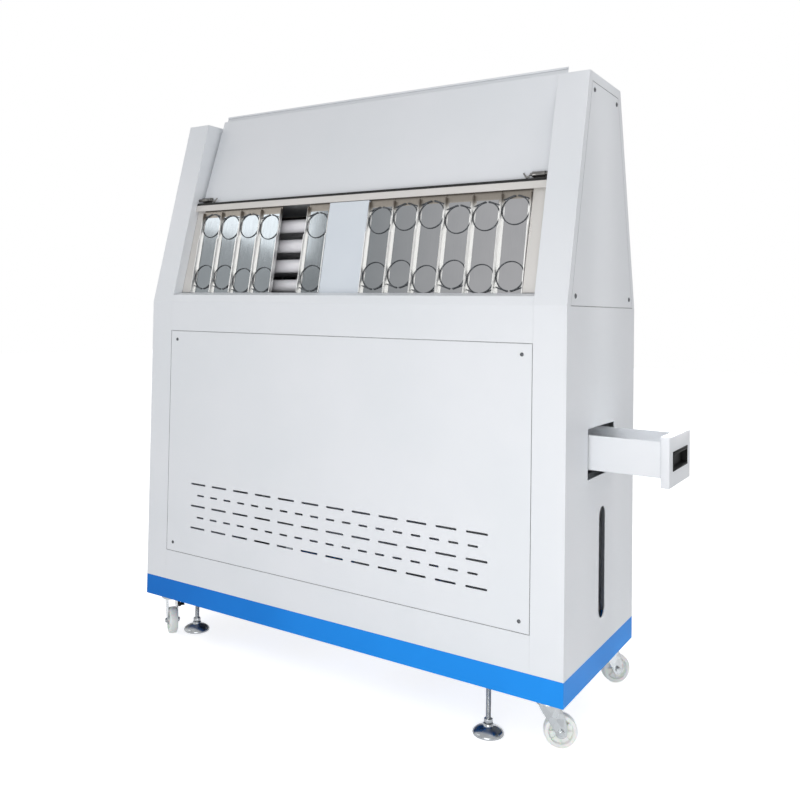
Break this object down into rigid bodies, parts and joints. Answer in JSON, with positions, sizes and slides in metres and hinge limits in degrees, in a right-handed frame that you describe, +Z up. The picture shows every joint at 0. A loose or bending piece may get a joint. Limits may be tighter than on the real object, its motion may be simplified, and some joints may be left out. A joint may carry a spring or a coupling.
{
  "type": "environmental test chamber",
  "caption": "Free-standing ultraviolet weathering and condensation chamber: sloped specimen racks, lift-up doors, lamps, water drawer, sight gauge, blue base on braked casters and feet",
  "frame": {"origin": "on the floor, midway between the cabinet's two ends and midway between its front and back", "axes": "+Z up; +X toward the end with the water drawer and the sight gauge; +Y toward the back, so the front faces -Y"},
  "size_m": [1.5097, 0.5415, 1.5844],
  "materials": {
    "cabinet_white": "white powder coat, fine texture, satin",
    "base_blue": "bright blue powder coat, satin",
    "rail_cream": "cream paint, satin",
    "blank_white": "bluish white paint, satin",
    "control_grey": "light grey powder coat",
    "motor_grey": "dark grey enamel",
    "zinc": "bright zinc plate",
    "galvanised": "galvanised sheet",
    "stainless": "stainless steel, fine brushed",
    "black_steel": "blackened steel",
    "spring_wire": "drawn spring wire, dull",
    "foot_chrome": "bright chrome plate",
    "holder_aluminium": "clear anodised, bright satin",
    "specimen_aluminium": "mill finish test panel, satin",
    "lamp_glass": "pale lilac white phosphor tube",
    "clear_acrylic": "grey translucent tube",
    "socket_plastic": "moulded white plastic",
    "grey_plastic": "moulded dark grey plastic",
    "black_plastic": "moulded black plastic, fine texture",
    "wheel_nylon": "translucent white nylon",
    "tank_plastic": "natural polyethylene",
    "red_plastic": "glossy red plastic",
    "seal_rubber": "black seal strip"
  },
  "bodies": {
    "cabinet": {"base_frame": "base_blue", "caster_plates": "zinc", "front_surround": "cabinet_white", "rear_surround": "cabinet_white", "end_frame_left": "cabinet_white", "end_frame_right": "cabinet_white", "end_cover_left": "cabinet_white", "end_cover_right": "cabinet_white", "upper_housing": "cabinet_white", "front_rack_frame": "rail_cream", "rear_rack_frame": "rail_cream", "window_seals": "seal_rubber", "front_service_panel": "cabinet_white", "rear_service_panel": "cabinet_white", "panel_screws": "black_steel", "water_pan": "stainless", "water_heater": "stainless", "lamp_tubes": "lamp_glass", "lamp_sockets": "socket_plastic", "ballasts": "galvanised", "water_tank": "tank_plastic", "sight_tube": "clear_acrylic", "sight_fittings": "grey_plastic", "drawer_runners": "galvanised", "front_holders": "holder_aluminium", "rear_holders": "holder_aluminium", "specimen_panels": "specimen_aluminium", "retaining_rings": "spring_wire", "blank_plates": "blank_white", "blower_housing": "galvanised", "blower_motor": "motor_grey", "control_panel": "control_grey", "cable_gland": "grey_plastic"},
    "front_door": {"front_door": "cabinet_white", "front_door_bolts": "stainless"},
    "rear_door": {"rear_door": "cabinet_white", "rear_door_bolts": "stainless"},
    "water_drawer": {"fill_drawer": "cabinet_white", "drawer_pull": "black_plastic"},
    "front_pin_left": {"front_pin_left": "stainless"},
    "front_pin_right": {"front_pin_right": "stainless"},
    "rear_pin_left": {"rear_pin_left": "stainless"},
    "rear_pin_right": {"rear_pin_right": "stainless"},
    "caster_fl": {"fork_fl": "zinc"},
    "wheel_fl": {"wheel_fl": "wheel_nylon"},
    "foot_fl": {"foot_fl": "foot_chrome"},
    "caster_fr": {"fork_fr": "zinc"},
    "wheel_fr": {"wheel_fr": "wheel_nylon"},
    "foot_fr": {"foot_fr": "foot_chrome"},
    "caster_bl": {"fork_bl": "zinc"},
    "wheel_bl": {"wheel_bl": "wheel_nylon"},
    "foot_bl": {"foot_bl": "foot_chrome"},
    "caster_br": {"fork_br": "zinc"},
    "wheel_br": {"wheel_br": "wheel_nylon"},
    "foot_br": {"foot_br": "foot_chrome"},
    "brake_fl": {"brake_fl": "black_plastic"},
    "brake_bl": {"brake_bl": "black_plastic"},
    "blower_wheel": {"blower_wheel": "galvanised"},
    "power_switch": {"power_switch": "black_plastic"},
    "emergency_stop": {"emergency_stop": "red_plastic"}
  },
  "joints": [
    {"name": "front_door", "type": "hinge", "parent": "cabinet", "child": "front_door", "pos_m": [0, -0.14905, 1.30219], "axis": [1, 0, 0], "range_deg": [0, 184]},
    {"name": "rear_door", "type": "hinge", "parent": "cabinet", "child": "rear_door", "pos_m": [0, 0.14905, 1.30219], "axis": [1, 0, 0], "range_deg": [0, 184]},
    {"name": "water_drawer", "type": "slide", "parent": "cabinet", "child": "water_drawer", "axis": [1, 0, 0], "range_m": [-0.1835, 0]},
    {"name": "front_pin_left", "type": "slide", "parent": "front_door", "child": "front_pin_left", "axis": [1, 0, 0], "range_m": [0, 0.01], "stiffness_N_per_m": 800, "springref_m": -0.005},
    {"name": "front_pin_right", "type": "slide", "parent": "front_door", "child": "front_pin_right", "axis": [-1, 0, 0], "range_m": [0, 0.01], "stiffness_N_per_m": 800, "springref_m": -0.005},
    {"name": "rear_pin_left", "type": "slide", "parent": "rear_door", "child": "rear_pin_left", "axis": [1, 0, 0], "range_m": [0, 0.01], "stiffness_N_per_m": 800, "springref_m": -0.005},
    {"name": "rear_pin_right", "type": "slide", "parent": "rear_door", "child": "rear_pin_right", "axis": [-1, 0, 0], "range_m": [0, 0.01], "stiffness_N_per_m": 800, "springref_m": -0.005},
    {"name": "swivel_fl", "type": "hinge", "parent": "cabinet", "child": "caster_fl", "pos_m": [-0.597, -0.205, 0.105], "axis": [0, 0, 1], "continuous": true},
    {"name": "roll_fl", "type": "hinge", "parent": "caster_fl", "child": "wheel_fl", "pos_m": [-0.57488, -0.22049, 0.0375], "axis": [0.5736, 0.8192, 0], "continuous": true},
    {"name": "brake_fl", "type": "hinge", "parent": "caster_fl", "child": "brake_fl", "pos_m": [-0.58627, -0.19664, 0.0795], "axis": [0.5736, 0.8192, 0], "range_deg": [0, 20]},
    {"name": "foot_fl", "type": "slide", "parent": "cabinet", "child": "foot_fl", "axis": [0, 0, 1], "range_m": [-0.055, 0.025]},
    {"name": "swivel_fr", "type": "hinge", "parent": "cabinet", "child": "caster_fr", "pos_m": [0.597, -0.205, 0.105], "axis": [0, 0, 1], "continuous": true},
    {"name": "roll_fr", "type": "hinge", "parent": "caster_fr", "child": "wheel_fr", "pos_m": [0.62038, -0.1915, 0.0375], "axis": [-0.5, 0.866, 0], "continuous": true},
    {"name": "foot_fr", "type": "slide", "parent": "cabinet", "child": "foot_fr", "axis": [0, 0, 1], "range_m": [-0.02, 0.06]},
    {"name": "swivel_bl", "type": "hinge", "parent": "cabinet", "child": "caster_bl", "pos_m": [-0.597, 0.205, 0.105], "axis": [0, 0, 1], "continuous": true},
    {"name": "roll_bl", "type": "hinge", "parent": "caster_bl", "child": "wheel_bl", "pos_m": [-0.5835, 0.22838, 0.0375], "axis": [-0.866, 0.5, 0], "continuous": true},
    {"name": "brake_bl", "type": "hinge", "parent": "caster_bl", "child": "brake_bl", "pos_m": [-0.60626, 0.21496, 0.0795], "axis": [-0.866, 0.5, 0], "range_deg": [0, 20]},
    {"name": "foot_bl", "type": "slide", "parent": "cabinet", "child": "foot_bl", "axis": [0, 0, 1], "range_m": [-0.055, 0.025]},
    {"name": "swivel_br", "type": "hinge", "parent": "cabinet", "child": "caster_br", "pos_m": [0.597, 0.205, 0.105], "axis": [0, 0, 1], "continuous": true},
    {"name": "roll_br", "type": "hinge", "parent": "caster_br", "child": "wheel_br", "pos_m": [0.61609, 0.22409, 0.0375], "axis": [-0.7071, 0.7071, 0], "continuous": true},
    {"name": "foot_br", "type": "slide", "parent": "cabinet", "child": "foot_br", "axis": [0, 0, 1], "range_m": [-0.055, 0.025]},
    {"name": "blower_spin", "type": "hinge", "parent": "cabinet", "child": "blower_wheel", "pos_m": [-0.38, 0, 0.288], "axis": [0, 1, 0], "continuous": true},
    {"name": "power_rocker", "type": "hinge", "parent": "cabinet", "child": "power_switch", "pos_m": [-0.657, 0.052, 1.1485], "axis": [0, 1, 0], "range_deg": [0, 16]},
    {"name": "emergency_press", "type": "slide", "parent": "cabinet", "child": "emergency_stop", "axis": [1, 0, 0], "range_m": [0, 0.004], "stiffness_N_per_m": 600, "springref_m": -0.002}
  ]
}
